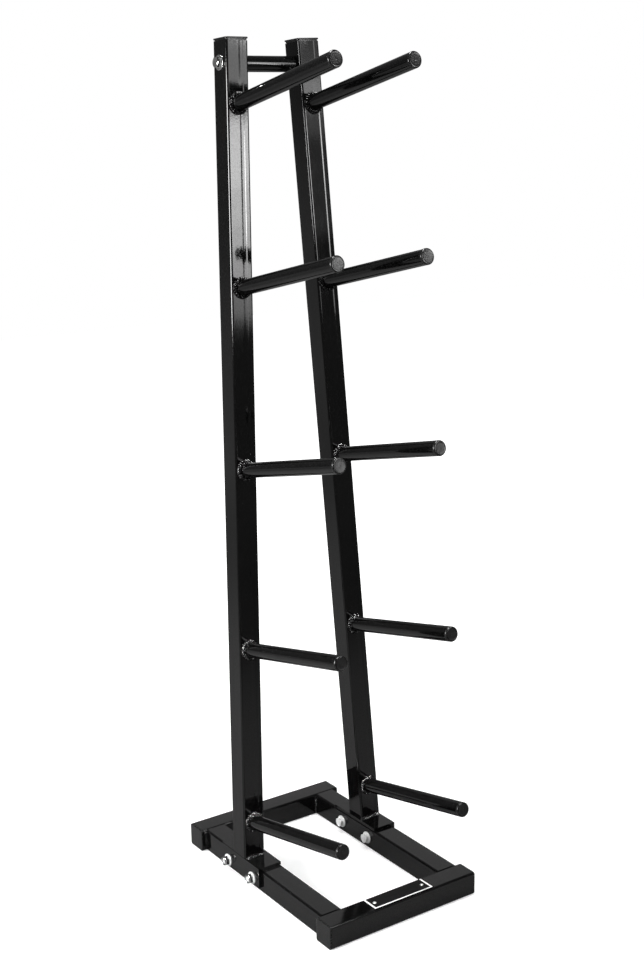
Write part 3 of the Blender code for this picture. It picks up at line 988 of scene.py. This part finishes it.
def make_box_plug(node, tube, outwards, x_axis, tilt, materials):
    """A square plug in a tube: body, neck where it stands off, flange and a crowned grained face."""
    top, normal = flat_face(node, outwards)
    matrix = axes_at(top, normal, x_axis)
    seat = local_points(tube, matrix)[:, 2].max()
    local = local_points(node, matrix)
    half, low, body, flange = plug_measures(np.abs(local[:, :2]).max(axis=1), local[:, 2])
    on_side = np.abs(np.abs(local[:, 1]) - half) < NEAR
    corner = half - np.abs(local[on_side][:, 0]).max()
    profile = box_plug_profile(half, low, body, flange, seat)
    face = len(profile) - 1
    profile += [(half * share, z) for share, z in BOX_PLUG_FACE]
    outlines = []
    for size, z in profile:
        bend = max(size * LEAST_CORNER_SHARE, corner - (half - size))
        outlines.append(rounded_rectangle(size, size, bend, z))
    name = node.replace("plug", "cap")
    matrix = matrix @ Matrix.Rotation(math.radians(tilt), 4, "Y")
    second = range(face, len(profile))
    plug = lofted_object(name, outlines, matrix, materials, second=second)
    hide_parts(node)


def make_plugs(materials):
    for side, sign in SIDES.items():
        for row in PEG_ROWS:
            make_peg_plug(f"{side}_peg_{row}", materials)
        tube = f"{side}_upright"
        make_box_plug(f"{side}_upright_plug", tube, UP, RIGHT, UPRIGHT_CAP_TILT[side], materials)
        for end in ENDS:
            tube = f"{end}_cross_member"
            make_box_plug(f"{end}_{side}_end_plug", tube, (sign, 0, 0), FRONT, 0, materials)


# Bolts, nuts and washers


def hexagon(half_flats, height_at):
    """A hexagon with a corner on X, at a height that depends on the distance from its centre."""
    points = []
    for i in range(BOLT_STEPS):
        angle = 2 * math.pi * i / BOLT_STEPS
        r = half_flats / math.cos(math.remainder(angle - math.pi / 6, math.pi / 3))
        points.append((r * math.cos(angle), r * math.sin(angle), height_at(r)))
    return points


def chamfer(half_flats, r):
    """How far the chamfer's cone cuts down a hexagon at a distance from its centre."""
    return max(0.0, r - half_flats + CHAMFER_INSET) * math.tan(math.radians(CHAMFER_ANGLE))


def thread_outline(radius, z, deep):
    points = []
    for i in range(BOLT_STEPS):
        angle = 2 * math.pi * i / BOLT_STEPS
        turn = (z / THREAD_PITCH - angle / (2 * math.pi)) % 1
        r = radius - deep * abs(2 * turn - 1)
        points.append((r * math.cos(angle), r * math.sin(angle), z))
    return points


def shank_outlines(shank, low, seat):
    """A bolt's shank: the centre mark in its end, the thread, and the plain stretch to the head."""
    profile = [(radius, low + z) for radius, z in CENTRE_MARK]
    profile.append((shank - THREAD_DEPTH - BOLT_END_BEVEL, low))
    outlines = circles(profile, BOLT_STEPS)
    count = round(THREAD_LENGTH / THREAD_PITCH * THREAD_STEPS)
    for i in range(count + 1):
        z = low + THREAD_START + THREAD_LENGTH * i / count
        fade = min(1.0, THREAD_FADE * (1 - i / count))
        outlines.append(thread_outline(shank, z, THREAD_DEPTH * fade))
    plain = [(shank, low + THREAD_LENGTH + THREAD_RUNOUT), (shank, seat)]
    return outlines + circles(plain, BOLT_STEPS)


def head_outlines(half_flats, seat):
    """A bolt's head, from its washer face up to a ring pressed into its top."""
    foot = seat + WASHER_FACE_RISE
    washer_face = half_flats - WASHER_FACE_INSET
    outlines = circles([(washer_face, seat), (washer_face, foot)], BOLT_STEPS)
    outlines.append(hexagon(half_flats, lambda r: foot))
    outlines.append(hexagon(half_flats, lambda r: -chamfer(half_flats, r)))
    profile = [(half_flats - CHAMFER_INSET, 0)]
    profile += [(half_flats - inset, z) for inset, z in HEAD_TOP]
    return outlines + circles(profile + [HEAD_MIDDLE], BOLT_STEPS)


def make_bolt(name, head_way, zinc, short=0.0, turn=0.0):
    """A hex bolt with a washer face, a threaded end and a centre mark in that end."""
    matrix = hexagon_axes(name, head_way) @ Matrix.Rotation(math.radians(turn), 4, "Z")
    reach, height = round_measures(name, matrix)
    low = height.min() + short
    seat = height[reach > reach.max() - NEAR].min()
    shank = reach[height < seat - UNDER_HEAD].max()
    half_flats = reach.max() * math.cos(math.pi / 6)
    outlines = shank_outlines(shank, low, seat) + head_outlines(half_flats, seat)
    bolt = lofted_object(f"{name}_threaded", outlines, matrix, [zinc])
    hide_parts(name)


def make_nut(name, way, zinc, plastic):
    """A lock nut: a hexagon chamfered at its foot, and a collar rolled over a black nylon ring."""
    matrix = hexagon_axes(name, way)
    reach, height = round_measures(name, matrix)
    low, bore = height.min(), reach.min()
    half_flats = reach.max() * math.cos(math.pi / 6)
    collar = half_flats - CHAMFER_INSET
    foot_inset, foot_rise = COLLAR_FOOT
    outlines = [circle(collar, low, BOLT_STEPS)]
    outlines.append(hexagon(half_flats, lambda r: low + chamfer(half_flats, r)))
    outlines.append(hexagon(half_flats, lambda r: -COLLAR_HEIGHT - chamfer(half_flats, r)))
    profile = [(half_flats - foot_inset, -COLLAR_HEIGHT), (collar, foot_rise - COLLAR_HEIGHT)]
    profile += [(collar - inset, -drop) for inset, drop in rim(COLLAR_EDGE)]
    profile += [(collar - inset, z) for inset, z in COLLAR_WALL]
    nylon = len(outlines) + len(profile) - 1
    profile += [(bore + past, z) for past, z in NYLON_RING]
    profile += [(bore + past, low + rise) for past, rise in NUT_BORE_FOOT]
    outlines += circles(profile, BOLT_STEPS)
    second = range(nylon, nylon + len(NYLON_RING))
    nut = lofted_object(f"{name}_locking", outlines, matrix, [zinc, plastic], True, second)
    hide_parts(name)


def make_washer(name, way, zinc):
    """A punched washer, rounded over on its outer side."""
    top, way = flat_face(name, way)
    matrix = axes_at(top, way, UP)
    reach, height = round_measures(name, matrix)
    low, radius, bore = height.min(), reach.max(), reach.min()
    foot_inset, foot_rise = WASHER_FOOT
    profile = [(bore, low), (radius - foot_inset, low), (radius, low + foot_rise)]
    profile += [(radius - inset, -drop) for inset, drop in rim(WASHER_EDGE)]
    profile += [(bore + WASHER_HOLE_EDGE, 0), (bore, -WASHER_HOLE_EDGE)]
    outlines = circles(profile, ROUND_STEPS)
    washer = lofted_object(f"{name}_punched", outlines, matrix, [zinc], closed=True)
    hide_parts(name)


def make_fasteners(zinc, dull_painted_light_zinc, plastic):
    for side, sign in SIDES.items():
        outwards = Vector((sign, 0, 0))
        make_bolt(f"{side}_crossbar_bolt", outwards, zinc, turn=CROSSBAR_BOLT_TURN)
        make_washer(f"{side}_crossbar_washer", outwards, zinc)
        for end in ENDS:
            # The base bolts' heads and washers get the duller, mostly diffuse zinc, whose near-white
            # shades paint the reflection of the bright floor
            make_bolt(f"{side}_{end}_bolt", -outwards, dull_painted_light_zinc, short=BOLT_END_SHORT)
            make_washer(f"{side}_{end}_inner_washer", -outwards, dull_painted_light_zinc)
            make_washer(f"{side}_{end}_outer_washer", outwards, dull_painted_light_zinc)
            make_nut(f"{side}_{end}_nut", outwards, zinc, plastic)


# Name plate


def make_plate(matrix, material):
    half_x, half_y = PLATE_SIZE[0] / 2, PLATE_SIZE[1] / 2
    outlines = [rounded_rectangle(half_x, half_y, PLATE_CORNER, PLATE_GAP)]
    for inset, drop in rim(PLATE_EDGE, PLATE_EDGE_STEPS):
        sizes = half_x - inset, half_y - inset, PLATE_CORNER
        outlines.append(rounded_rectangle(*sizes, PLATE_THICKNESS - drop))
    lofted_object("name_plate", outlines, matrix, [material])


def make_plate_border(matrix, material):
    """The white line printed along the plate's two ends and its front edge."""
    x, y = PLATE_SIZE[0] / 2 - BORDER_INSET, PLATE_SIZE[1] / 2 - BORDER_INSET
    inner_x, inner_y = x - BORDER_END, y - BORDER_FRONT
    outline = [(-x, -y), (x, -y), (x, y), (inner_x, y), (inner_x, -inner_y)]
    outline += [(-inner_x, -inner_y), (-inner_x, y), (-x, y)]
    heights = PLATE_THICKNESS - BORDER_SUNK, PLATE_THICKNESS + BORDER_RISE
    outlines = [[(*point, z) for point in outline] for z in heights]
    lofted_object("name_plate_border", outlines, matrix, [material])


def make_rivet(name, place, satin):
    """A blind rivet: a low dome with the hollow that its mandrel left."""
    radius = RIVET_DIAMETER / 2
    profile = [(radius * RIVET_FOOT, -RIVET_SUNK), (radius, RIVET_EDGE)]
    for i in range(1, RIVET_DOME_STEPS):
        rise = math.sin(math.pi * i / (2 * RIVET_DOME_STEPS))
        z = RIVET_EDGE + (RIVET_RISE - RIVET_EDGE) * rise
        profile.append((radius * (1 - RIVET_DOME * i / RIVET_DOME_STEPS), z))
    heights = RIVET_RISE - RIVET_EDGE, -RIVET_HOLLOW_DEPTH, -RIVET_HOLLOW_DEPTH
    profile += [(radius * share, z) for share, z in zip(RIVET_HOLLOW, heights)]
    outlines = circles(profile, RIVET_STEPS)
    lofted_object(name, outlines, Matrix.Translation(place), [satin])


def make_name_plate(satin):
    """A bare black plate, riveted to the top of the front cross member."""
    matrix = Matrix.Translation((*PLATE_CENTRE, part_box("front_cross_member")[1][2]))
    make_plate(matrix, print_material("plate_black", **PLATE_BLACK))
    make_plate_border(matrix, print_material("plate_white", **PLATE_WHITE))
    for side, sign in SIDES.items():
        place = matrix @ Vector((sign * RIVET_SPACING / 2, 0, PLATE_THICKNESS))
        make_rivet(f"{side}_rivet", place, satin)


# The build


def main():
    make_camera()
    make_floor()
    make_world()
    make_lamps()
    rim_plastic = plastic_material("plug_rim", **PLUG_RIM)
    face_plastic = plastic_material("plug_face", **PLUG_FACE)
    zinc = zinc_material("bright_zinc", **BRIGHT_ZINC)
    # Duller, mostly diffuse zinc whose near-white shades paint the reflection of the bright floor on
    # the base bolts' heads and washers
    dull_painted_light_zinc = zinc_material("dull_painted_light_zinc", **DULL_PAINTED_LIGHT_ZINC)
    finish_cad_nodes(face_plastic, zinc)
    make_welds()
    make_plugs([rim_plastic, face_plastic])
    make_fasteners(zinc, dull_painted_light_zinc, rim_plastic)
    make_name_plate(zinc_material("satin_zinc", **SATIN_ZINC))
    bpy.context.scene.view_settings.view_transform = "Standard"


main()
